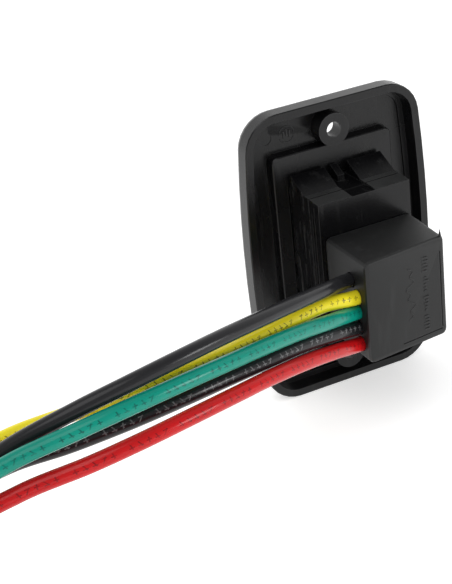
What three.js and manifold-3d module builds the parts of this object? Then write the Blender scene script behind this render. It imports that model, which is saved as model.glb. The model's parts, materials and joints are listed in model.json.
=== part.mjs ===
// Rear-wired rocker switch on a moulded wall plate, with its push-on five-lead connector.
// Millimetres, +Z up, +Y to the rear (the wiring side). Lengths along Y are measured from the plate's rim plane
// and every mesh is then moved by SHIFT_Y, so that the origin is below the middle of the object.
import * as THREE from 'three';
import { mergeVertices } from 'three/addons/utils/BufferGeometryUtils.js';
import Module from 'manifold-3d';

const wasm = await Module();
wasm.setup();

const SHIFT_Y = -9.2;
const GAP = 0.3;
const ARC_STEPS = 7;

// wall plate
const PLATE_H = 85.8;
const PLATE_HALF_W = 25.95;
const PLATE_BOW = 2.41;
const PLATE_R = 9.0;
const PLATE_DEPTH = 6.6;
const TRAY_DEPTH = 4.9;
const LEDGE_DEPTH = 4.3;
const LEDGE_W = 1.5;
const RIM_WALL = 2.2;
const MID_Z = PLATE_H / 2;
const BOSS_Z = 34.35;
const BOSS_R = 4.65;
const SCREW_R = 2.2;
const SCREW_HEAD_R = 4.1;
const COLLAR_HALF_W = 18.5;
const COLLAR_HALF_H = 29.85;
const COLLAR_Y = -1.9;
const COLLAR_R = 1.6;
const EJECTOR_MARK = [18.4, 77.7, 1.8];

// switch body
const BODY_HALF_W = 14.1;
const BODY_HALF_H = 20.85;
const BODY_SPLIT_Y = 9.0;
const BODY_REAR_Y = 14.0;
const FLANGE_HALF_W = 16.6;
const FLANGE_HALF_H = 23.4;
const FLANGE_FRONT_Y = -9.0;
const CAVITY_HALF_W = 11.9;
const CAVITY_HALF_H = 18.6;
const LATCH_X = 0.15;
const LATCH_W = 7.1;
const LATCH_DEPTH = 0.45;
const WING_RISE = 3.5;
const WING_FRONT_Y = -1.2;
const WING_REAR_Y = 6.6;

// contacts
const COLUMN_X = 6.5;
const ROW_PITCH = 7.5;
const BLADE_W = 6.3;
const BLADE_T = 0.8;
const BLADE_END_Y = 21.5;
const FIXED_CONTACT_Y = 4.8;
const ARM_Y = 2.4;
const ARM_T = 0.8;

// rocker
const PIVOT_Y = -5.5;
const ROCKER_HALF_W = 11.3;
const TRUNNION_R = 1.6;
const ROCKER_FRONT_Y = -16.3;
const LEG_R = 3.2;
const PLUNGER_R = 1.9;
const BORE_R = 2.2;
const SPRING_R = 1.45;
const SPRING_WIRE_R = 0.22;

// connector hood
const HOOD_Z0 = 24.8;
const HOOD_Z1 = 53.8;
const HOOD_WALL = 1.2;
const HOOD_LEAN = 0.105;
const CARRIER_Y0 = 14.9;
const CARRIER_Y1 = 22.6;

// leads
const LEAD_R = 2.0;
const LEAD_SIDES = 10;
const LEAD_STEPS = 44;

const group = new THREE.Group();
const plastic = { color: 0x17181a, roughness: 0.5, metalness: 0.0 };
const brass = { color: 0xb99a52, roughness: 0.3, metalness: 1.0 };
const steel = { color: 0xb9bcc0, roughness: 0.3, metalness: 1.0 };

function toManifold(geometry) {
  const plain = geometry.clone();
  plain.deleteAttribute('normal');
  plain.deleteAttribute('uv');
  const merged = mergeVertices(plain, 1e-4);
  const index = merged.index.array;
  return new wasm.Manifold(new wasm.Mesh({
    numProp: 3,
    vertProperties: new Float32Array(merged.attributes.position.array),
    triVerts: new Uint32Array(index),
  }));
}

function toGeometry(solid) {
  const mesh = solid.getMesh();
  const geometry = new THREE.BufferGeometry();
  geometry.setAttribute('position', new THREE.BufferAttribute(new Float32Array(mesh.vertProperties), 3));
  geometry.setIndex(new THREE.BufferAttribute(new Uint32Array(mesh.triVerts), 1));
  return geometry;
}

function addPart(name, solid, look) {
  const geometry = toGeometry(solid);
  geometry.translate(0, SHIFT_Y, 0);
  geometry.computeVertexNormals();
  const mesh = new THREE.Mesh(geometry, new THREE.MeshStandardMaterial(look));
  mesh.name = name;
  group.add(mesh);
}

function box(x0, x1, y0, y1, z0, z1) {
  const geometry = new THREE.BoxGeometry(x1 - x0, y1 - y0, z1 - z0);
  geometry.translate((x0 + x1) / 2, (y0 + y1) / 2, (z0 + z1) / 2);
  return toManifold(geometry);
}

function boxAt(cx, halfW, y0, y1, cz, halfH) {
  return box(cx - halfW, cx + halfW, y0, y1, cz - halfH, cz + halfH);
}

// a turned piece about a line along Y; points are [radius, y] from the front end to the rear end
function turnedY(x, z, points, sides) {
  const profile = points.map(([r, y]) => new THREE.Vector2(r, y));
  const geometry = new THREE.LatheGeometry(profile, sides);
  geometry.translate(x, 0, z);
  return toManifold(geometry);
}

function rodY(x, z, radius, y0, y1, sides = 24) {
  return turnedY(x, z, [[0, y0], [radius, y0], [radius, y1], [0, y1]], sides);
}

// a flat outline of [y, z] points given a thickness along X
function prismX(points, x0, x1) {
  const shape = new THREE.Shape(points.map(([y, z]) => new THREE.Vector2(y, z)));
  const geometry = new THREE.ExtrudeGeometry(shape, { depth: x1 - x0, bevelEnabled: false });
  geometry.applyMatrix4(new THREE.Matrix4().set(
    0, 0, 1, x0,
    1, 0, 0, 0,
    0, 1, 0, 0,
    0, 0, 0, 1));
  return toManifold(geometry);
}

function rodX(y, z, radius, x0, x1, sides = 20) {
  const geometry = new THREE.CylinderGeometry(radius, radius, x1 - x0, sides);
  geometry.rotateZ(Math.PI / 2);
  geometry.translate((x0 + x1) / 2, y, z);
  return toManifold(geometry);
}

// a closed skin over rings of equally many points, each ring convex and running the same way round
function loft(rings) {
  const count = rings[0].length;
  const positions = [];
  const index = [];
  for (const ring of rings) {
    for (const point of ring) positions.push(...point);
  }
  for (let k = 0; k + 1 < rings.length; k += 1) {
    for (let i = 0; i < count; i += 1) {
      const j = (i + 1) % count;
      const a = k * count + i;
      const b = k * count + j;
      index.push(a, a + count, b, b, a + count, b + count);
    }
  }
  const last = (rings.length - 1) * count;
  for (let i = 1; i + 1 < count; i += 1) {
    index.push(0, i, i + 1);
    index.push(last, last + i + 1, last + i);
  }
  const geometry = new THREE.BufferGeometry();
  geometry.setAttribute('position', new THREE.Float32BufferAttribute(positions, 3));
  geometry.setIndex(index);
  return toManifold(geometry);
}

// half the plate's outline, bottom to top, at an inset from its edge
function plateHalfWidths(inset) {
  const radius = PLATE_R - inset;
  const low = inset;
  const heights = [];
  for (let i = 0; i <= ARC_STEPS; i += 1) {
    heights.push(low + radius * (1 - Math.cos((i / ARC_STEPS) * Math.PI / 2)));
  }
  for (let i = 1; i < ARC_STEPS; i += 1) {
    heights.push(low + radius + (i / ARC_STEPS) * (PLATE_H - 2 * low - 2 * radius));
  }
  for (let i = ARC_STEPS; i >= 0; i -= 1) {
    heights.push(PLATE_H - low - radius * (1 - Math.cos((i / ARC_STEPS) * Math.PI / 2)));
  }
  return heights.map((z) => {
    const off = (z - MID_Z) / MID_Z;
    const depthIn = Math.max(0, radius - Math.min(z - low, PLATE_H - low - z));
    const corner = radius - Math.sqrt(Math.max(0, radius * radius - depthIn * depthIn));
    return [PLATE_HALF_W + PLATE_BOW * (1 - off * off) - inset - corner, z];
  });
}

function plateRing(y, inset) {
  const half = plateHalfWidths(inset);
  const right = half.map(([x, z]) => [x, y, z]);
  const left = half.map(([x, z]) => [-x, y, z]).reverse();
  return [...right, ...left];
}

function makeWallPlate() {
  const outer = loft([
    plateRing(-PLATE_DEPTH, 2.5),
    plateRing(-PLATE_DEPTH + 0.35, 1.2),
    plateRing(-PLATE_DEPTH + 1.1, 0.4),
    plateRing(-PLATE_DEPTH + 2.4, 0),
    plateRing(-0.25, 0),
    plateRing(0, 0.25),
  ]);
  const tray = loft([
    plateRing(-TRAY_DEPTH, RIM_WALL + 0.6 + LEDGE_W),
    plateRing(-LEDGE_DEPTH, RIM_WALL + 0.5 + LEDGE_W),
    plateRing(-LEDGE_DEPTH, RIM_WALL + 0.5),
    plateRing(-0.2, RIM_WALL + 0.2),
    plateRing(0.5, RIM_WALL - 0.1),
  ]);
  let plate = outer.subtract(tray);
  const collarRing = (y, inset) => roundedRing(
    -COLLAR_HALF_W + inset, COLLAR_HALF_W - inset,
    MID_Z - COLLAR_HALF_H + inset, MID_Z + COLLAR_HALF_H - inset, COLLAR_R - inset, () => y);
  plate = plate.add(loft([
    collarRing(-TRAY_DEPTH - 0.5, -0.4), collarRing(COLLAR_Y - 0.25, 0), collarRing(COLLAR_Y, 0.25),
  ]));
  for (const z of [MID_Z - BOSS_Z, MID_Z + BOSS_Z]) {
    plate = plate.add(rodY(0, z, BOSS_R, -TRAY_DEPTH - 0.5, 0, 32));
  }
  for (const z of [MID_Z - BOSS_Z, MID_Z + BOSS_Z]) {
    const hole = turnedY(0, z, [
      [0, -PLATE_DEPTH - 1], [SCREW_HEAD_R + 1, -PLATE_DEPTH - 1], [SCREW_HEAD_R, -PLATE_DEPTH],
      [SCREW_R, -PLATE_DEPTH + 2.1], [SCREW_R, 1], [0, 1],
    ], 28);
    plate = plate.subtract(hole);
  }
  const [markX, markZ, markR] = EJECTOR_MARK;
  plate = plate.subtract(rodY(markX, markZ, markR, -TRAY_DEPTH - 0.15, -TRAY_DEPTH + 0.5));
  const opening = boxAt(0, BODY_HALF_W + GAP, -PLATE_DEPTH - 1, 1, MID_Z, BODY_HALF_H + GAP);
  addPart('wall_plate', plate.subtract(opening), plastic);
}

function makeHousing() {
  const flangeRing = (y, inset) => roundedRing(
    -FLANGE_HALF_W + inset, FLANGE_HALF_W - inset,
    MID_Z - FLANGE_HALF_H + inset, MID_Z + FLANGE_HALF_H - inset, 2.5 - inset, () => y);
  let housing = loft([
    flangeRing(FLANGE_FRONT_Y, 0.9),
    flangeRing(FLANGE_FRONT_Y + 0.9, 0),
    flangeRing(-PLATE_DEPTH - GAP, 0),
  ]);
  housing = housing.add(boxAt(0, BODY_HALF_W, -PLATE_DEPTH - 1, BODY_SPLIT_Y - GAP / 2, MID_Z, BODY_HALF_H));
  housing = housing.subtract(boxAt(0, CAVITY_HALF_W, -20, 20, MID_Z, CAVITY_HALF_H));
  housing = housing.subtract(rodX(PIVOT_Y, MID_Z, TRUNNION_R + GAP, -BODY_HALF_W - 1, BODY_HALF_W + 1));
  const half = LATCH_W / 2;
  for (const side of [-1, 1]) {
    const face = MID_Z + side * BODY_HALF_H;
    const low = Math.min(face - side * LATCH_DEPTH, face + side);
    const high = Math.max(face - side * LATCH_DEPTH, face + side);
    housing = housing.subtract(box(LATCH_X - half, LATCH_X + half, WING_FRONT_Y, BODY_SPLIT_Y + 1, low, high));
    const ramp = [
      [WING_FRONT_Y, face - side], [WING_REAR_Y, face - side], [WING_REAR_Y, face],
      [WING_FRONT_Y + 0.8, face + side * WING_RISE], [WING_FRONT_Y, face + side * (WING_RISE - 0.3)],
    ];
    housing = housing.add(prismX(ramp, LATCH_X + half, BODY_HALF_W));
    housing = housing.add(prismX(ramp, -BODY_HALF_W, LATCH_X - half));
    const tongue = [
      [WING_FRONT_Y, face - side], [2.8, face - side], [2.8, face + side * 1.3],
      [WING_FRONT_Y, face + side * (WING_RISE - 0.1)],
    ];
    housing = housing.add(prismX(tongue, LATCH_X - 0.75, LATCH_X + 1.35));
  }
  addPart('switch_housing', housing, plastic);
}

// terminal places, seen from the rear: [name, column, row]; one outer place has no blade
const TERMINALS = [
  ['terminal_supply', 1, 1],
  ['terminal_ground_upper', -1, 1],
  ['terminal_output_left', 1, 0],
  ['terminal_output_right', -1, 0],
  ['terminal_ground_lower', 1, -1],
];
const JUMPER_PLACE = [-1, -1];

function rowZ(row) {
  return MID_Z + row * ROW_PITCH;
}

function makeTerminalBase() {
  let base = boxAt(0, BODY_HALF_W, BODY_SPLIT_Y + GAP / 2, BODY_REAR_Y, MID_Z, BODY_HALF_H);
  base = base.add(boxAt(0, CAVITY_HALF_W - GAP, 7.0, BODY_REAR_Y - 1, MID_Z, CAVITY_HALF_H - GAP));
  for (const [, column, row] of TERMINALS) {
    base = base.subtract(boxAt(column * COLUMN_X, BLADE_W / 2 + GAP, 5, 20, rowZ(row), BLADE_T / 2 + GAP));
  }
  const half = LATCH_W / 2;
  const top = MID_Z + BODY_HALF_H;
  base = base.subtract(box(LATCH_X - half, LATCH_X + half, BODY_SPLIT_Y, 20, top - LATCH_DEPTH, top + 1));
  const slope = [[BODY_SPLIT_Y, top + 1], [BODY_SPLIT_Y, top], [BODY_REAR_Y + 1, top - 0.4], [BODY_REAR_Y + 1, top + 1]];
  base = base.subtract(prismX(slope, -BODY_HALF_W - 1, BODY_HALF_W + 1));
  for (const y of [10.2, 11.5]) {
    for (const side of [-1, 1]) {
      const edge = side * BODY_HALF_W;
      const x0 = Math.min(edge, edge - side * 0.5);
      base = base.subtract(box(x0 - 0.01, x0 + 0.51, y, y + 0.6, MID_Z - 17, MID_Z + 17));
    }
  }
  addPart('terminal_base', base, plastic);
}

function makeTerminals() {
  for (const [name, column, row] of TERMINALS) {
    const x = column * COLUMN_X;
    const z = rowZ(row);
    const front = row === 0 ? ARM_Y + ARM_T + GAP : FIXED_CONTACT_Y + 0.6;
    let blade = boxAt(x, BLADE_W / 2, front, BLADE_END_Y - 1, z, BLADE_T / 2);
    blade = blade.add(boxAt(x, BLADE_W / 2 - 1, BLADE_END_Y - 1.2, BLADE_END_Y, z, BLADE_T / 2));
    if (row !== 0) {
      blade = blade.add(boxAt(x, BLADE_W / 2 - 0.4, FIXED_CONTACT_Y + 0.6, FIXED_CONTACT_Y + 1.3, z, 2.2));
      blade = blade.add(rodY(x, z, 1.6, FIXED_CONTACT_Y, FIXED_CONTACT_Y + 0.8, 16));
    }
    addPart(name, blade, brass);
  }
}

// the sixth contact has no blade; a bar behind the moving arms joins it to the supply terminal's side
function makeJumper() {
  const x = JUMPER_PLACE[0] * COLUMN_X;
  const z = rowZ(JUMPER_PLACE[1]);
  let jumper = boxAt(x, BLADE_W / 2 - 0.4, FIXED_CONTACT_Y + 0.6, FIXED_CONTACT_Y + 1.3, z, 2.2);
  jumper = jumper.add(rodY(x, z, 1.6, FIXED_CONTACT_Y, FIXED_CONTACT_Y + 0.8, 16));
  jumper = jumper.add(box(-0.6, 0.6, FIXED_CONTACT_Y + 0.6, FIXED_CONTACT_Y + 1.3, z - 0.6, rowZ(1) + 0.6));
  jumper = jumper.add(box(x, 0.6, FIXED_CONTACT_Y + 0.6, FIXED_CONTACT_Y + 1.3, z - 0.6, z + 0.6));
  jumper = jumper.add(box(-0.6, COLUMN_X - BLADE_W / 2 - GAP, FIXED_CONTACT_Y + 0.6,
    FIXED_CONTACT_Y + 1.3, rowZ(1) - 0.6, rowZ(1) + 0.6));
  addPart('jumper_link', jumper, brass);
}

function makeContactArms() {
  for (const [name, column] of [['contact_arm_left', 1], ['contact_arm_right', -1]]) {
    const x = column * COLUMN_X;
    let arm = boxAt(x, 2.6, ARM_Y, ARM_Y + ARM_T, MID_Z, ROW_PITCH + 2.4);
    for (const row of [-1, 1]) {
      arm = arm.add(rodY(x, rowZ(row), 1.4, ARM_Y + 0.2, ARM_Y + ARM_T + 0.25, 16));
    }
    addPart(name, arm, brass);
  }
}

function rockerProfile() {
  const half = [[-6.5, 17.4], [-10.5, 17.0], [-14.2, 16.5], [-15.8, 15.9], [ROCKER_FRONT_Y, 14.6],
    [-15.2, 9.0], [-14.2, 3.5]];
  const upper = half.map(([y, z]) => [y, MID_Z + z]);
  const lower = half.map(([y, z]) => [y, MID_Z - z]).reverse();
  return [...upper, [-14.0, MID_Z], ...lower];
}

function makeRocker() {
  const shape = new THREE.Shape(rockerProfile().map(([y, z]) => new THREE.Vector2(y, z)));
  const width = 2 * ROCKER_HALF_W;
  const geometry = new THREE.ExtrudeGeometry(shape, {
    depth: width - 1.2, bevelEnabled: true, bevelThickness: 0.6, bevelSize: 0.6, bevelOffset: -0.6, bevelSegments: 2,
  });
  // the shape's (y, z) lie in the sheet's (x, y) and its thickness runs along X
  geometry.applyMatrix4(new THREE.Matrix4().set(
    0, 0, 1, -ROCKER_HALF_W + 0.6,
    1, 0, 0, 0,
    0, 1, 0, 0,
    0, 0, 0, 1));
  let rocker = toManifold(geometry);
  rocker = rocker.add(boxAt(0, ROCKER_HALF_W, -8.0, -3.6, MID_Z, 2.6));
  rocker = rocker.add(rodX(PIVOT_Y, MID_Z, TRUNNION_R, -BODY_HALF_W + 0.6, BODY_HALF_W - 0.6));
  for (const column of [-1, 1]) {
    rocker = rocker.add(rodY(column * COLUMN_X, MID_Z, LEG_R, -10, -2.0));
  }
  for (const column of [-1, 1]) {
    rocker = rocker.subtract(rodY(column * COLUMN_X, MID_Z, BORE_R, -10.6, 0));
  }
  addPart('rocker', rocker, plastic);
}

function makePlungers() {
  for (const [side, column] of [['left', 1], ['right', -1]]) {
    const x = column * COLUMN_X;
    const plunger = turnedY(x, MID_Z, [
      [0, -4.4], [PLUNGER_R, -4.4], [PLUNGER_R, 0.6], [1.6, 1.4], [0.9, 1.95], [0, 2.1],
    ], 20);
    addPart(`plunger_${side}`, plunger, steel);
    const turns = 5;
    const points = [];
    for (let i = 0; i <= turns * 10; i += 1) {
      const angle = (i / 10) * 2 * Math.PI;
      const y = -10.2 + (i / (turns * 10)) * 5.2;
      points.push(new THREE.Vector3(x + SPRING_R * Math.cos(angle), y, MID_Z + SPRING_R * Math.sin(angle)));
    }
    const path = new THREE.CatmullRomCurve3(points);
    addPart(`plunger_spring_${side}`, tube(path, SPRING_WIRE_R, 6, turns * 12), steel);
  }
}

function tube(path, radius, sides, steps) {
  const shape = new THREE.Shape();
  for (let i = 0; i < sides; i += 1) {
    const angle = (i / sides) * 2 * Math.PI;
    const x = radius * Math.cos(angle);
    const y = radius * Math.sin(angle);
    if (i === 0) shape.moveTo(x, y);
    else shape.lineTo(x, y);
  }
  shape.closePath();
  return toManifold(new THREE.ExtrudeGeometry(shape, { steps, bevelEnabled: false, extrudePath: path }));
}

// a rounded rectangle's ring in X and Z, with its Y given by x
function roundedRing(x0, x1, z0, z1, radius, yAt) {
  const corners = [[x1 - radius, z0 + radius, -90], [x1 - radius, z1 - radius, 0],
    [x0 + radius, z1 - radius, 90], [x0 + radius, z0 + radius, 180]];
  const ring = [];
  for (const [cx, cz, start] of corners) {
    for (let i = 0; i <= 3; i += 1) {
      const angle = ((start + i * 30) * Math.PI) / 180;
      const x = cx + radius * Math.cos(angle);
      ring.push([x, yAt(x), cz + radius * Math.sin(angle)]);
    }
  }
  return ring;
}

// the hood's near face leans: it stands further out on its +X side
function hoodNearY(x) {
  return 33.35 + HOOD_LEAN * x;
}

function hoodSolid(inset, farY, nearInset) {
  const ring = (x0, x1, more, yAt) => roundedRing(
    x0 + inset + more, x1 - inset - more, HOOD_Z0 + inset + more, HOOD_Z1 - inset - more, 1.6 - more, yAt);
  return loft([
    ring(-14.1, 12.8, 0, () => farY),
    ring(-13.0, 13.05, 0, (x) => hoodNearY(x) - 1.4 - nearInset),
    ring(-12.8, 13.1, 0, (x) => hoodNearY(x) - 0.8 - nearInset),
    ring(-12.6, 13.1, 0.25, (x) => hoodNearY(x) - 0.2 - nearInset),
    ring(-12.6, 13.1, 0.9, (x) => hoodNearY(x) - nearInset),
  ]);
}

function makeHood() {
  let hood = hoodSolid(0, BODY_REAR_Y + GAP, 0);
  hood = hood.subtract(hoodSolid(HOOD_WALL, BODY_REAR_Y - 1, HOOD_WALL + 0.4));
  hood = hood.add(box(8.5, 12.4, CARRIER_Y1 + GAP, 32.6, HOOD_Z0 + 0.5, 50.0));
  for (const name of Object.keys(LEADS)) {
    hood = hood.subtract(tube(leadPath(name), LEAD_R + 0.22, LEAD_SIDES, LEAD_STEPS));
  }
  for (const [x, z, width, height] of [[-11.1, 38.6, 0.35, 22.4], [-4.35, 26.9, 13.4, 0.35]]) {
    const line = new THREE.BoxGeometry(width, 0.6, height);
    line.rotateZ(Math.atan(HOOD_LEAN));
    line.translate(x, hoodNearY(x), z);
    hood = hood.subtract(toManifold(line));
  }
  const flash = new THREE.ConeGeometry(0.45, 2.6, 6);
  flash.rotateX(Math.PI / 2);
  flash.translate(-11.9, 31.3, HOOD_Z1 + 0.7);
  hood = hood.add(toManifold(flash));
  addPart('plug_shell', hood, plastic);
}

function makeCarrier() {
  let carrier = box(-11.3, 10.6, CARRIER_Y0, CARRIER_Y1, HOOD_Z0 + HOOD_WALL + GAP, HOOD_Z1 - HOOD_WALL - GAP);
  for (const [, column, row] of TERMINALS) {
    carrier = carrier.subtract(boxAt(column * COLUMN_X, 4.05, 10, 30, rowZ(row), 1.4));
  }
  addPart('plug_carrier', carrier, plastic);
}

function makeReceptacles() {
  for (const [name, column, row] of TERMINALS) {
    const x = column * COLUMN_X;
    const z = rowZ(row);
    let clip = boxAt(x, 3.75, 15.2, 22.4, z, 1.1);
    clip = clip.subtract(boxAt(x, BLADE_W / 2 + 0.2, 10, BLADE_END_Y + 0.3, z, 0.7));
    addPart(name.replace('terminal', 'receptacle'), clip, brass);
  }
}

// each lead's centre line, from inside the hood to its free end, standing clear and then lying down
const LEADS = {
  lead_black_upper: [0x2b2b2d, [
    [-1, 25.6, 46], [13, 26.5, 46.5], [24.7, 33.2, 49.6], [36.6, 40.2, 52.7], [49, 46.8, 55.3],
    [61.8, 52.5, 57.2], [74.9, 56.8, 57.9], [88.3, 59.2, 57.2], [101.9, 59.1, 54.8], [117.6, 56.1, 49.3],
    [130.3, 54.3, 42.6], [140.7, 54.9, 32.1], [147.4, 58.8, 20.9], [151, 66.9, 10.8], [152.3, 79.2, 3.9],
    [152.5, 92.4, 2.15], [150.2, 105.6, 2.15], [144.4, 117.8, 2.15], [135.5, 127.9, 2.15]
  ]],
  lead_yellow: [0xf2dc3c, [
    [-1, 28, 41.8], [13, 29.5, 42.6], [24, 32, 44.9], [36.3, 37.6, 46.9], [49.2, 43.8, 49],
    [62.4, 49.6, 50.8], [74, 53.3, 52.1], [87.4, 54.5, 52.1], [101.1, 52.7, 50.6], [115.1, 48.1, 47.2],
    [128.2, 45.2, 41.9], [138.9, 46.2, 33.8], [146.9, 51.1, 24.4], [152.5, 59.2, 15], [156.1, 70, 7.4],
    [157.8, 83.4, 2.7], [157.7, 97, 2.15], [154.5, 110.1, 2.15], [146.2, 125, 2.15]
  ]],
  lead_green: [0x1fa08c, [
    [-1, 27.3, 37.2], [13, 29.4, 38.3], [24.9, 35.9, 42], [37, 42.3, 45.7], [49.5, 48.7, 48.8],
    [62.4, 54.4, 51.2], [75.6, 59, 52.8], [89.2, 62.1, 53.2], [103.1, 63.2, 52.2], [119.4, 61.5, 48.9],
    [131.8, 60.2, 43.7], [140.6, 60.2, 32.3], [143.6, 63.8, 19.2], [142.9, 72.7, 7.8], [141.6, 86, 2.5],
    [140.6, 99.3, 2.15], [135.3, 111.7, 2.15], [125.9, 121.4, 2.15], [115.7, 126.6, 2.15]
  ]],
  lead_black_lower: [0x2b2b2d, [
    [-1, 27.4, 32.7], [13, 29.4, 33.7], [23.4, 34.2, 37.1], [35.8, 40.1, 40.5], [48.7, 46.4, 43.4],
    [61.8, 51.5, 45.4], [75.3, 55.2, 46.4], [89.1, 56.9, 46.3], [103.1, 56.1, 45.1], [117.2, 52, 42.5],
    [129.5, 49.7, 37.6], [139.3, 51.8, 27.3], [144.7, 58.4, 16.2], [146.5, 68.8, 7.6], [147, 81.2, 3.1],
    [146.9, 94.6, 2.15], [143.8, 107.3, 2.15], [137, 118.6, 2.15], [124, 129, 2.15]
  ]],
  lead_red: [0xd2262c, [
    [-1, 27.6, 28.4], [13, 30, 29.1], [24.6, 36.5, 33.4], [36.3, 43.3, 37.5], [48.6, 49.9, 40.9],
    [61.3, 56, 43.3], [74.4, 60.9, 44.8], [87.9, 64.1, 45.1], [101.7, 64.9, 44.1], [118, 62.2, 41.2],
    [129.8, 60.3, 36.6], [137.8, 60.4, 25.3], [138.9, 65.4, 13.2], [137.1, 75.8, 5], [136, 88.5, 2.3],
    [134.2, 101.5, 2.15], [127.4, 112.9, 2.15], [116.5, 120.5, 2.15], [100.8, 122.8, 2.15]
  ]],
};

function leadPath(name) {
  const points = LEADS[name][1].map((p) => new THREE.Vector3(...p));
  return new THREE.CatmullRomCurve3(points, false, 'centripetal');
}

function makeLeads() {
  for (const [name, [color]] of Object.entries(LEADS)) {
    const look = { color, roughness: 0.4, metalness: 0.0 };
    addPart(name, tube(leadPath(name), LEAD_R, LEAD_SIDES, LEAD_STEPS), look);
  }
}

makeWallPlate();
makeHousing();
makeTerminalBase();
makeTerminals();
makeJumper();
makeContactArms();
makeRocker();
makePlungers();
makeHood();
makeCarrier();
makeReceptacles();
makeLeads();

export default group;
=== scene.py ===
"""Rocker switch plate with its plugged lead connector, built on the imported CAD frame. Metres, +Z up, +Y rear."""
import json
import math
import random

import bmesh
import bpy
from mathutils import Matrix, Vector


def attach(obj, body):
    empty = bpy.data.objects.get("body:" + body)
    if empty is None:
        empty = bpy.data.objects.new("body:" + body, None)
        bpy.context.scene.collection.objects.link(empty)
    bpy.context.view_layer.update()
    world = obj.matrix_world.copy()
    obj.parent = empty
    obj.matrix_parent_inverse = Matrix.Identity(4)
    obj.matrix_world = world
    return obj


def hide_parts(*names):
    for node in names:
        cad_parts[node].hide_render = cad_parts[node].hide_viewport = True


MM = 0.001
SHIFT_Y = -9.2  # the CAD's rim plane, in mm from the origin

# the camera's place, in mm, and its axes
CAMERA_AT = (182.75, 327.09, 221.97)
CAMERA_RIGHT = (-0.891, 0.442, -0.102)
CAMERA_UP = (-0.277, -0.353, 0.894)
CAMERA_BACK = (0.359, 0.825, 0.437)
LENS = 93.08  # mm, on a sensor 36 mm wide
SENSOR = 36.0
SHIFT_UP = -0.024  # of the sensor's width

# leads
LEAD_RADIUS = 2.0  # mm
LEAD_LENGTH = 0.254  # m
LEAD_SIDES = 20
LEAD_RINGS = 150
CUT_AT = 3.0  # U of the cut end's middle in the UV map
CORE_SQUARED = 0.38  # the copper core's radius over the lead's, squared
LEADS = {  # each lead's route, in mm: X, Y from the rim plane, Z from the floor
    "lead_black_upper": [
        (-1, 25.6, 46), (13, 26.5, 46.5), (24.7, 33.2, 49.6), (36.6, 40.2, 52.7), (49, 46.8, 55.3),
        (61.8, 52.5, 57.2), (74.9, 56.8, 57.9), (88.3, 59.2, 57.2), (101.9, 59.1, 54.8),
        (117.6, 56.1, 49.3), (130.3, 54.3, 42.6), (140.7, 54.9, 32.1), (147.4, 58.8, 20.9),
        (151, 66.9, 10.8), (152.3, 79.2, 3.9), (152.5, 92.4, 2.15), (150.2, 105.6, 2.15),
        (144.4, 117.8, 2.15), (135.5, 127.9, 2.15)
    ],
    "lead_yellow": [
        (-1, 28, 41.8), (13, 29.5, 42.6), (24, 32, 44.9), (36.3, 37.6, 46.9), (49.2, 43.8, 49),
        (62.4, 49.6, 50.8), (74, 53.3, 52.1), (87.4, 54.5, 52.1), (101.1, 52.7, 50.6),
        (115.1, 48.1, 47.2), (128.2, 45.2, 41.9), (138.9, 46.2, 33.8), (146.9, 51.1, 24.4),
        (152.5, 59.2, 15), (156.1, 70, 7.4), (157.8, 83.4, 2.7), (157.7, 97, 2.15), (154.5, 110.1, 2.15),
        (146.2, 125, 2.15)
    ],
    "lead_green": [
        (-1, 27.3, 37.2), (13, 29.4, 38.3), (24.9, 35.9, 42), (37, 42.3, 45.7), (49.5, 48.7, 48.8),
        (62.4, 54.4, 51.2), (75.6, 59, 52.8), (89.2, 62.1, 53.2), (103.1, 63.2, 52.2),
        (119.4, 61.5, 48.9), (131.8, 60.2, 43.7), (140.6, 60.2, 32.3), (143.6, 63.8, 19.2),
        (142.9, 72.7, 7.8), (141.6, 86, 2.5), (140.6, 99.3, 2.15), (135.3, 111.7, 2.15),
        (125.9, 121.4, 2.15), (115.7, 126.6, 2.15)
    ],
    "lead_black_lower": [
        (-1, 27.4, 32.7), (13, 29.4, 33.7), (23.4, 34.2, 37.1), (35.8, 40.1, 40.5), (48.7, 46.4, 43.4),
        (61.8, 51.5, 45.4), (75.3, 55.2, 46.4), (89.1, 56.9, 46.3), (103.1, 56.1, 45.1),
        (117.2, 52, 42.5), (129.5, 49.7, 37.6), (139.3, 51.8, 27.3), (144.7, 58.4, 16.2),
        (146.5, 68.8, 7.6), (147, 81.2, 3.1), (146.9, 94.6, 2.15), (143.8, 107.3, 2.15),
        (137, 118.6, 2.15), (124, 129, 2.15)
    ],
    "lead_red": [
        (-1, 27.6, 28.4), (13, 30, 29.1), (24.6, 36.5, 33.4), (36.3, 43.3, 37.5), (48.6, 49.9, 40.9),
        (61.3, 56, 43.3), (74.4, 60.9, 44.8), (87.9, 64.1, 45.1), (101.7, 64.9, 44.1), (118, 62.2, 41.2),
        (129.8, 60.3, 36.6), (137.8, 60.4, 25.3), (138.9, 65.4, 13.2), (137.1, 75.8, 5),
        (136, 88.5, 2.3), (134.2, 101.5, 2.15), (127.4, 112.9, 2.15), (116.5, 120.5, 2.15),
        (100.8, 122.8, 2.15)
    ],
}

# print on the leads: plain strokes and dashes
PRINT_PITCH = 2.2  # mm along the lead
PRINT_SIDE = 0.185  # turns round the lead from its upper side
PRINT_HEIGHT = 0.105  # turns

# the band of painted light (a lighter colour on the upward faces) on top of the switch body, in m
WINGS_END = -0.0026  # Y where the snap wings end and the band begins
SLOT_X = 0.00015  # the latch slot's middle
SLOT_EDGE = (0.0034, 0.0037)  # from the slot's middle, where the band fades in

# moulded marks, in mm
MARK_RISE = 0.16
MARK_LINE_RADIUS = 0.22
HOOD_BARS_X = -5.9
HOOD_BARS_Z = 28.6
HOOD_BARS_PITCH = 0.95
HOOD_LOOPS_X = -0.9
HOOD_LOOPS_Z = 33
HOOD_FACE_Y = 33.35  # at X 0, with its slope along X
HOOD_FACE_SLOPE = 0.105
PLATE_MARK = (12.0, 77.6)  # X and Z
PLATE_MARK_RADIUS = 2.3
PLATE_FACE_Y = -4.9

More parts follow.
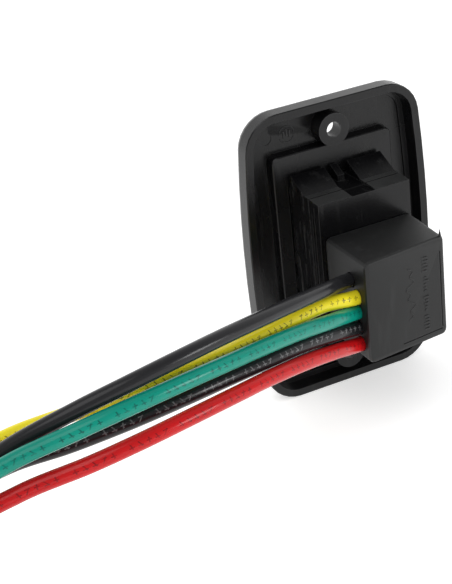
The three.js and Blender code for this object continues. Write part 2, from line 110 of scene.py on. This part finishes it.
# surroundings: the room is bright towards -Y and dimmer towards +Y
BACK_LIGHT = 1.25
FRONT_LIGHT = 0.45
FLOOR_GLOW = 0.52

LEAD_LOOKS = {  # colour, darker colour, print colour, print strength
    "lead_black_upper": ((0.020, 0.020, 0.022), (0.013, 0.013, 0.015), (0.25, 0.25, 0.26), 0.0),
    "lead_yellow": ((1.0, 0.86, 0.025), (0.95, 0.78, 0.02), (0.06, 0.05, 0.01), 0.85),
    "lead_green": ((0.003, 0.31, 0.225), (0.002, 0.23, 0.17), (0.004, 0.07, 0.06), 0.75),
    "lead_black_lower": ((0.020, 0.020, 0.022), (0.013, 0.013, 0.015), (0.30, 0.30, 0.31), 0.55),
    "lead_red": ((0.60, 0.008, 0.010), (0.47, 0.006, 0.008), (0.12, 0.005, 0.008), 0.75),
}


def make_camera():
    data = bpy.data.cameras.new("camera")
    data.sensor_width = SENSOR
    data.lens = LENS
    data.shift_y = SHIFT_UP
    data.clip_start = 0.01
    data.clip_end = 20.0
    camera = bpy.data.objects.new("camera", data)
    bpy.context.scene.collection.objects.link(camera)
    columns = [Vector(CAMERA_RIGHT), Vector(CAMERA_UP), Vector(CAMERA_BACK)]
    turn = Matrix([[c[row] for c in columns] for row in range(3)]).to_4x4()
    camera.matrix_world = Matrix.Translation(Vector(CAMERA_AT) * MM) @ turn
    bpy.context.scene.camera = camera


def link_mesh(name, bm, smooth_angle=35):
    mesh = bpy.data.meshes.new(name)
    bm.to_mesh(mesh)
    bm.free()
    piece = bpy.data.objects.new(name, mesh)
    bpy.context.scene.collection.objects.link(piece)
    mesh.shade_smooth()
    mesh.set_sharp_from_angle(angle=math.radians(smooth_angle))
    return piece


# ---------- materials ----------

class Net:
    """One node tree, with short calls for the nodes used here. Each call gives back an output socket."""

    def __init__(self, tree):
        self.nodes = tree.nodes
        self.links = tree.links

    def coordinates(self, kind):
        return self.nodes.new("ShaderNodeTexCoord").outputs[kind]

    def link(self, source, socket):
        self.links.new(source, socket)

    def split(self, vector):
        node = self.nodes.new("ShaderNodeSeparateXYZ")
        self.link(vector, node.inputs[0])
        return node.outputs

    def noise(self, coordinates, scale, detail=4.0, stretch=None):
        noise = self.nodes.new("ShaderNodeTexNoise")
        noise.inputs["Scale"].default_value = scale
        noise.inputs["Detail"].default_value = detail
        source = coordinates
        if stretch:
            mapping = self.nodes.new("ShaderNodeMapping")
            mapping.inputs["Scale"].default_value = stretch
            self.link(coordinates, mapping.inputs["Vector"])
            source = mapping.outputs["Vector"]
        self.link(source, noise.inputs["Vector"])
        return noise.outputs["Fac"]

    def ramp(self, value, low, high, to_low=0.0, to_high=1.0):
        node = self.nodes.new("ShaderNodeMapRange")
        node.inputs["From Min"].default_value = low
        node.inputs["From Max"].default_value = high
        node.inputs["To Min"].default_value = to_low
        node.inputs["To Max"].default_value = to_high
        self.link(value, node.inputs["Value"])
        return node.outputs["Result"]

    def mix(self, factor, first, second):
        node = self.nodes.new("ShaderNodeMix")
        node.data_type = "RGBA"
        for socket, value in ((node.inputs[6], first), (node.inputs[7], second)):
            if isinstance(value, tuple):
                socket.default_value = (*value, 1.0)
            else:
                self.link(value, socket)
        self.link(factor, node.inputs[0])
        return node.outputs[2]

    def math(self, operation, first, second=None):
        node = self.nodes.new("ShaderNodeMath")
        node.operation = operation
        for socket, value in ((node.inputs[0], first), (node.inputs[1], second)):
            if isinstance(value, (int, float)):
                socket.default_value = value
            elif value is not None:
                self.link(value, socket)
        return node.outputs[0]

    def product(self, *values):
        result = values[0]
        for value in values[1:]:
            result = self.math("MULTIPLY", result, value)
        return result

    def near_zero(self, value, reach):
        """1 where the value lies within reach of 0, else 0."""
        return self.math("LESS_THAN", self.math("ABSOLUTE", value), reach)

    def facing(self, axis, low, high):
        """1 on faces turned along the axis, either way, and 0 elsewhere."""
        along = self.split(self.coordinates("Normal"))[axis]
        return self.ramp(self.math("ABSOLUTE", along), low, high)

    def edges(self, radius, most):
        """The most where the surface turns within the radius, 0 on flat ground."""
        bevel = self.nodes.new("ShaderNodeBevel")
        bevel.samples = 6
        bevel.inputs["Radius"].default_value = radius
        dot = self.nodes.new("ShaderNodeVectorMath")
        dot.operation = "DOT_PRODUCT"
        self.link(bevel.outputs["Normal"], dot.inputs[0])
        self.link(self.nodes.new("ShaderNodeNewGeometry").outputs["Normal"], dot.inputs[1])
        return self.ramp(dot.outputs["Value"], 0.995, 0.90, 0.0, most)

    def bump(self, shader, *layers):
        """Each layer is (height, distance, strength)."""
        previous = None
        for height, distance, strength in layers:
            node = self.nodes.new("ShaderNodeBump")
            node.inputs["Distance"].default_value = distance
            node.inputs["Strength"].default_value = strength
            self.link(height, node.inputs["Height"])
            if previous is not None:
                self.link(previous, node.inputs["Normal"])
            previous = node.outputs["Normal"]
        self.link(previous, shader.inputs["Normal"])


def new_material(name):
    material = bpy.data.materials.new(name)
    material.use_nodes = True
    return material, Net(material.node_tree), material.node_tree.nodes["Principled BSDF"]


def moulded_plastic(name, colour, worn, roughness, streaks=0.0, painted_light_colour=None):
    """Black moulded plastic: fine texture, faint flow clouding, dusty scuffs and lighter edges."""
    material, net, shader = new_material(name)
    where = net.coordinates("Object")
    clouds = net.noise(where, 60.0, 5.0)
    fine = net.noise(where, 2600.0, 3.0)
    scuffs = net.noise(where, 420.0, 6.0, (1.0, 1.0, 0.16))
    scuffed = net.ramp(scuffs, 0.56, 0.74)
    edge_wear = net.product(net.edges(0.0004, 0.55), net.ramp(clouds, 0.35, 0.65, 0.4, 1.0))
    amount = net.math("MAXIMUM", edge_wear, net.product(scuffed, 0.16))
    cloudy_rough = net.ramp(clouds, 0.3, 0.7, roughness - 0.05, roughness + 0.05)
    rough = net.math("ADD", cloudy_rough, net.product(scuffed, 0.08))
    if streaks:  # rubbed streaks along Z on the sides
        drawn = net.ramp(net.noise(where, 900.0, 5.0, (1.0, 1.0, 0.06)), 0.5, 0.66, 0.0, streaks)
        broken = net.ramp(net.noise(where, 260.0, 4.0), 0.42, 0.6)
        rubbed = net.product(drawn, broken, net.facing("X", 0.6, 0.9))
        amount = net.math("MAXIMUM", amount, rubbed)
        rough = net.math("ADD", rough, net.product(rubbed, 0.3))
    darker, lighter = (tuple(c * share for c in colour) for share in (0.86, 1.14))
    clouded = net.mix(net.ramp(clouds, 0.3, 0.7), darker, lighter)
    base = net.mix(amount, clouded, worn)
    if painted_light_colour:  # painted light: a lighter band painted on the upward faces behind the snap wings, for light falling on the top's rear, made rougher too, broken by the latch slot
        place = net.split(where)
        from_slot = net.math("ABSOLUTE", net.math("SUBTRACT", place["X"], SLOT_X))
        off_slot = net.ramp(from_slot, *SLOT_EDGE)
        behind = net.math("GREATER_THAN", place["Y"], WINGS_END)
        painted_light_mask = net.product(off_slot, net.facing("Z", 0.93, 0.98), behind, net.ramp(clouds, 0.3, 0.6, 0.6, 1.0))
        base = net.mix(painted_light_mask, base, painted_light_colour)
        rough = net.math("ADD", rough, net.product(painted_light_mask, 0.2))
    net.link(base, shader.inputs["Base Color"])
    net.link(rough, shader.inputs["Roughness"])
    shader.inputs["Specular IOR Level"].default_value = 0.32
    net.bump(shader, (fine, 0.00002, 0.7), (scuffs, 0.00003, 0.25))
    return material


def bare_metal(name, colour, dark, roughness):
    material, net, shader = new_material(name)
    where = net.coordinates("Object")
    stains = net.noise(where, 300.0, 5.0)
    drawn = net.noise(where, 1500.0, 3.0, (0.1, 1.0, 1.0))
    net.link(net.mix(net.ramp(stains, 0.35, 0.7), colour, dark), shader.inputs["Base Color"])
    net.link(net.ramp(drawn, 0.3, 0.7, roughness - 0.08, roughness + 0.1), shader.inputs["Roughness"])
    shader.inputs["Metallic"].default_value = 1.0
    net.bump(shader, (drawn, 0.00001, 0.5))
    return material


def printed_strokes(net, along, around):
    """1 on the print: in each cell along the lead a slanted stroke and a short dash, with a gap between words."""
    cell = net.math("DIVIDE", along, PRINT_PITCH)
    number = net.math("FLOOR", cell)
    chance = net.nodes.new("ShaderNodeTexWhiteNoise")
    chance.noise_dimensions = "1D"
    net.link(number, chance.inputs["W"])
    lot = chance.outputs["Value"]
    across = net.math("DIVIDE", net.math("SUBTRACT", around, PRINT_SIDE), PRINT_HEIGHT)
    inside = net.math("SUBTRACT", net.math("FRACT", cell), 0.42)
    slant = net.product(across, net.ramp(lot, 0.0, 1.0, -0.55, 0.55))
    stroke = net.near_zero(net.math("SUBTRACT", inside, slant), 0.085)
    dash_row = net.math("SUBTRACT", across, net.ramp(lot, 0.0, 1.0, 0.4, -0.4))
    dash = net.product(net.near_zero(dash_row, 0.1), net.near_zero(inside, 0.3))
    word = net.math("GREATER_THAN", net.math("PINGPONG", number, 3.0), 0.5)
    return net.product(net.math("MAXIMUM", stroke, dash), word, net.near_zero(across, 0.5))


def lead_insulation(name, colour, dark, ink, ink_strength):
    """Extruded insulation with plain printed strokes (U along the lead, V around it) and a stranded copper cut end."""
    material, net, shader = new_material(name)
    where = net.coordinates("Object")
    uv = net.coordinates("UV")
    u, v, _ = net.split(uv)
    on_cut = net.math("GREATER_THAN", u, CUT_AT / 2)
    patchy = net.ramp(net.noise(where, 900.0, 3.0), 0.3, 0.6, ink_strength * 0.35, ink_strength)
    strokes = printed_strokes(net, net.product(u, LEAD_LENGTH / MM), v)
    print_here = net.product(strokes, patchy, net.math("SUBTRACT", 1.0, on_cut))
    cloud = net.noise(where, 120.0, 4.0)
    skin = net.mix(print_here, net.mix(net.ramp(cloud, 0.35, 0.7, 0.0, 0.45), colour, dark), ink)
    off = net.math("SUBTRACT", u, CUT_AT)
    radius_squared = net.math("ADD", net.product(off, off), net.product(v, v))
    core = net.product(on_cut, net.math("LESS_THAN", radius_squared, CORE_SQUARED))
    strands = net.nodes.new("ShaderNodeTexVoronoi")
    strands.inputs["Scale"].default_value = 5.0
    net.link(uv, strands.inputs["Vector"])
    copper = net.mix(net.ramp(strands.outputs["Distance"], 0.2, 0.65, 1.0, 0.0), (0.12, 0.05, 0.03), (0.80, 0.42, 0.24))
    net.link(net.mix(core, skin, copper), shader.inputs["Base Color"])
    net.link(core, shader.inputs["Metallic"])
    rough = net.math("ADD", net.ramp(cloud, 0.3, 0.7, 0.17, 0.25), net.product(core, 0.15))
    net.link(rough, shader.inputs["Roughness"])
    shader.inputs["Specular IOR Level"].default_value = 0.27
    ripple = net.noise(where, 260.0, 2.0)
    drawn = net.noise(uv, 1.0, 3.0, (600.0, 24.0, 1.0))
    net.bump(shader, (ripple, 0.00006, 0.2), (drawn, 0.00001, 0.2))
    return material


# ---------- leads ----------

def smooth_route(points, steps):
    """Centripetal Catmull-Rom through the points, resampled evenly."""
    ends = [points[0] * 2 - points[1], *points, points[-1] * 2 - points[-2]]
    fine = []
    for i in range(1, len(ends) - 2):
        p0, p1, p2, p3 = ends[i - 1:i + 3]
        d0, d1, d2 = (math.sqrt((b - a).length) for a, b in ((p0, p1), (p1, p2), (p2, p3)))
        t1 = ((p1 - p0) / d0 - (p2 - p0) / (d0 + d1) + (p2 - p1) / d1) * d1
        t2 = ((p2 - p1) / d1 - (p3 - p1) / (d1 + d2) + (p3 - p2) / d2) * d1
        for k in range(20):
            t = k / 20
            fine.append(p1 + t1 * t + (p1 * -3 + p2 * 3 - t1 * 2 - t2) * t * t + (p1 * 2 - p2 * 2 + t1 + t2) * t ** 3)
    fine.append(points[-1])
    lengths = [0.0]
    for a, b in zip(fine, fine[1:]):
        lengths.append(lengths[-1] + (b - a).length)
    even = []
    k = 0
    for i in range(steps + 1):
        target = lengths[-1] * i / steps
        while k + 2 < len(lengths) and lengths[k + 1] < target:
            k += 1
        share = (target - lengths[k]) / (lengths[k + 1] - lengths[k])
        even.append(fine[k].lerp(fine[k + 1], share))
    return even


def tube_mesh(name, route, radius, sides):
    """A closed tube with a UV map: U along it, V around it from its upper side."""
    bm = bmesh.new()
    uv = bm.loops.layers.uv.new("UVMap")
    rings = []
    for i, point in enumerate(route):
        ahead = (route[min(i + 1, len(route) - 1)] - route[max(i - 1, 0)]).normalized()
        up = (Vector((0, 0, 1)) - ahead * ahead.z).normalized()
        side = ahead.cross(up)
        ring = []
        for j in range(sides):
            angle = 2 * math.pi * j / sides
            ring.append(bm.verts.new(point + (up * math.cos(angle) - side * math.sin(angle)) * radius))
        rings.append(ring)
    for i, (a, b) in enumerate(zip(rings, rings[1:])):
        for j in range(sides):
            k = (j + 1) % sides
            face = bm.faces.new((a[j], a[k], b[k], b[j]))
            corners = ((i, j), (i, j + 1), (i + 1, j + 1), (i + 1, j))
            for loop, (u, v) in zip(face.loops, corners):
                loop[uv].uv = (u / (len(rings) - 1), v / sides)
    bm.faces.new(rings[0])
    cut = bm.faces.new(reversed(rings[-1]))
    for loop in cut.loops:  # the cut end lies off to the side in the UV map, as a circle round CUT_AT
        angle = 2 * math.pi * rings[-1].index(loop.vert) / sides
        loop[uv].uv = (CUT_AT + math.cos(angle), math.sin(angle))
    bmesh.ops.recalc_face_normals(bm, faces=bm.faces)
    return link_mesh(name, bm, 50)


def make_leads():
    for name, points in LEADS.items():
        route = smooth_route([Vector((x, y + SHIFT_Y, z)) * MM for x, y, z in points], LEAD_RINGS)
        piece = tube_mesh(name + "_insulation", route, LEAD_RADIUS * MM, LEAD_SIDES)
        piece.data.materials.append(lead_insulation(name, *LEAD_LOOKS[name]))
        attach(piece, "plug")
        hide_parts(name)


# ---------- moulded pieces ----------

def softened(node, name, width, smooth_angle):
    """The CAD node's shape with its edges rounded, standing for it."""
    source = frame["nodes"][node]
    bm = bmesh.new()
    bm.from_mesh(source.data)
    bmesh.ops.remove_doubles(bm, verts=bm.verts, dist=3e-5)
    bmesh.ops.dissolve_limit(bm, angle_limit=math.radians(0.3), verts=bm.verts, edges=bm.edges)
    piece = link_mesh(name, bm, smooth_angle)
    modifier = piece.modifiers.new("round", "BEVEL")
    modifier.width = width * MM
    modifier.segments = 3
    modifier.limit_method = "ANGLE"
    modifier.angle_limit = math.radians(28)
    modifier.harden_normals = True
    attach(piece, frame_body(node))
    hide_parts(node)
    return piece


def frame_body(node):
    bodies = frame["record"]["behaviour"]["bodies"]
    return next(body for body, members in bodies.items() if node in members)


def make_moulded_pieces():
    looks = {  # material, rounding in mm, slot, smooth angle in degrees
        "wall_plate": (PLATE, 0.25, "plate_plastic", 18),
        "switch_housing": (SWITCH, 0.12, "switch_plastic", 8),
        "terminal_base": (SWITCH, 0.12, "switch_plastic", 3),
        "rocker": (ROCKER, 0.3, "rocker_plastic", 40),
        "plug_shell": (HOOD, 0.25, "hood_plastic", 30),
    }
    for node, (material, width, slot, smooth_angle) in looks.items():
        piece = softened(node, node + "_moulding", width, smooth_angle)
        piece.data.materials.append(material)


def raised_marks(name, body, material, bars, line, face_y):
    """Moulded marks without meaning: bars (x, z, width, height) and a thin line, standing on a rear face, in mm."""
    bm = bmesh.new()
    for x, z, width, height in bars:
        place = Matrix.Translation(Vector((x, face_y(x) + MARK_RISE / 2 - 0.1, z)) * MM)
        size = Matrix.Diagonal((width * MM, (MARK_RISE + 0.2) * MM, height * MM, 1.0))
        bmesh.ops.create_cube(bm, size=1.0, matrix=place @ size)
    route = [Vector((x, face_y(x) - 0.08, z)) * MM for x, z in line]
    tube = tube_mesh("line", route, MARK_LINE_RADIUS * MM, 6)
    bm.from_mesh(tube.data)
    bpy.data.objects.remove(tube)
    piece = link_mesh(name, bm)
    piece.data.materials.append(material)
    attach(piece, body)


def make_marks():
    draw = random.Random(5)
    bars = [(HOOD_BARS_X + draw.uniform(-0.2, 0.2), HOOD_BARS_Z + HOOD_BARS_PITCH * i, draw.uniform(0.5, 1.9), 0.42)
            for i in range(23) if i not in (5, 11, 17)]
    heights = (HOOD_LOOPS_Z + 0.25 * i for i in range(61))
    loops = [(HOOD_LOOPS_X - 0.8 * (math.sin(1.9 * z) + math.sin(0.73 * z)), z) for z in heights]
    raised_marks("hood_marks", "plug", HOOD, bars, loops,
                 lambda x: HOOD_FACE_Y + HOOD_FACE_SLOPE * x + SHIFT_Y)
    x, z = PLATE_MARK
    angles = (0.15 * i for i in range(40))
    ring = [(x + PLATE_MARK_RADIUS * math.cos(t), z + PLATE_MARK_RADIUS * math.sin(t)) for t in angles]
    strokes = [(x + 0.9 * (i - 1), z + 0.5 * (i % 2), 0.4, 2.0) for i in range(3)]
    raised_marks("plate_marks", "plate", PLATE, strokes, ring, lambda x: PLATE_FACE_Y + SHIFT_Y)


def paint_frame_nodes():
    """The CAD's own nodes that are still seen: metal parts, and hood plastic for the rest."""
    for name, node in frame["nodes"].items():
        if node.hide_render:
            continue
        material = HOOD
        if name.startswith(("terminal_", "receptacle_", "jumper", "contact")):
            material = BRASS
        if name.startswith("plunger"):
            material = STEEL
        node.data.materials.clear()
        node.data.materials.append(material)


# ---------- surroundings ----------

def make_floor():
    bm = bmesh.new()
    bmesh.ops.create_grid(bm, x_segments=1, y_segments=1, size=3.0)
    floor = link_mesh("floor", bm)
    material, _, shader = new_material("floor")
    shader.inputs["Base Color"].default_value = (0.9, 0.9, 0.9, 1.0)
    shader.inputs["Roughness"].default_value = 0.9
    shader.inputs["Emission Color"].default_value = (1.0, 1.0, 1.0, 1.0)
    shader.inputs["Emission Strength"].default_value = FLOOR_GLOW
    floor.data.materials.append(material)


def make_light(name, at, towards, size, power):
    data = bpy.data.lights.new(name, "AREA")
    data.shape = "DISK"
    data.size = size
    data.energy = power
    light = bpy.data.objects.new(name, data)
    bpy.context.scene.collection.objects.link(light)
    light.location = at
    light.rotation_euler = (Vector(towards) - Vector(at)).to_track_quat("-Z", "Y").to_euler()


def make_lights():
    world = bpy.data.worlds.new("studio")
    world.use_nodes = True
    net = Net(world.node_tree)
    direction = net.split(net.coordinates("Generated"))
    backward = net.ramp(direction["Y"], -0.55, 0.35, BACK_LIGHT, FRONT_LIGHT)
    overhead = net.ramp(direction["Z"], 0.45, 0.9, 1.0, 0.5)
    background = world.node_tree.nodes["Background"]
    background.inputs["Color"].default_value = (1.0, 1.0, 1.0, 1.0)
    net.link(net.product(backward, overhead), background.inputs["Strength"])
    bpy.context.scene.world = world
    make_light("key", (-0.66, 0.60, 0.20), (0.0, 0.0, 0.05), 0.30, 1.8)
    make_light("fill", (0.25, 0.35, 0.95), (0.06, 0.04, 0.04), 0.8, 3.0)
    bpy.context.scene.view_settings.view_transform = "Standard"
    bpy.context.scene.view_settings.look = "None"


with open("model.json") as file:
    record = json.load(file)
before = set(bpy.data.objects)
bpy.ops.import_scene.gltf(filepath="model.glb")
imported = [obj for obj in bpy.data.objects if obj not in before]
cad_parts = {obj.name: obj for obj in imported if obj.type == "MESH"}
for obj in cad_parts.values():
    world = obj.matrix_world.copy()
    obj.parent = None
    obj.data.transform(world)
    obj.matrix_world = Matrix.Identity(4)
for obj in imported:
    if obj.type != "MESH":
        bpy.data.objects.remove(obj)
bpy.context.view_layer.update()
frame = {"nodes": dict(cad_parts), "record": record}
make_camera()
make_leads()

PLATE = moulded_plastic("plate_plastic", (0.0055, 0.0055, 0.006), (0.045, 0.045, 0.047), 0.27)
# the switch plastic carries a painted light band: a lighter colour on the upward faces of its top
SWITCH = moulded_plastic("switch_plastic", (0.003, 0.003, 0.0035), (0.05, 0.05, 0.05), 0.23, streaks=0.8,
                         painted_light_colour=(0.042, 0.043, 0.043))
ROCKER = moulded_plastic("rocker_plastic", (0.006, 0.006, 0.007), (0.05, 0.05, 0.05), 0.28)
HOOD = moulded_plastic("hood_plastic", (0.012, 0.0124, 0.0125), (0.07, 0.07, 0.072), 0.44)
BRASS = bare_metal("brass", (0.72, 0.56, 0.27), (0.45, 0.33, 0.14), 0.3)
STEEL = bare_metal("steel", (0.66, 0.67, 0.69), (0.4, 0.4, 0.42), 0.28)

make_moulded_pieces()
make_marks()
paint_frame_nodes()
make_floor()
make_lights()
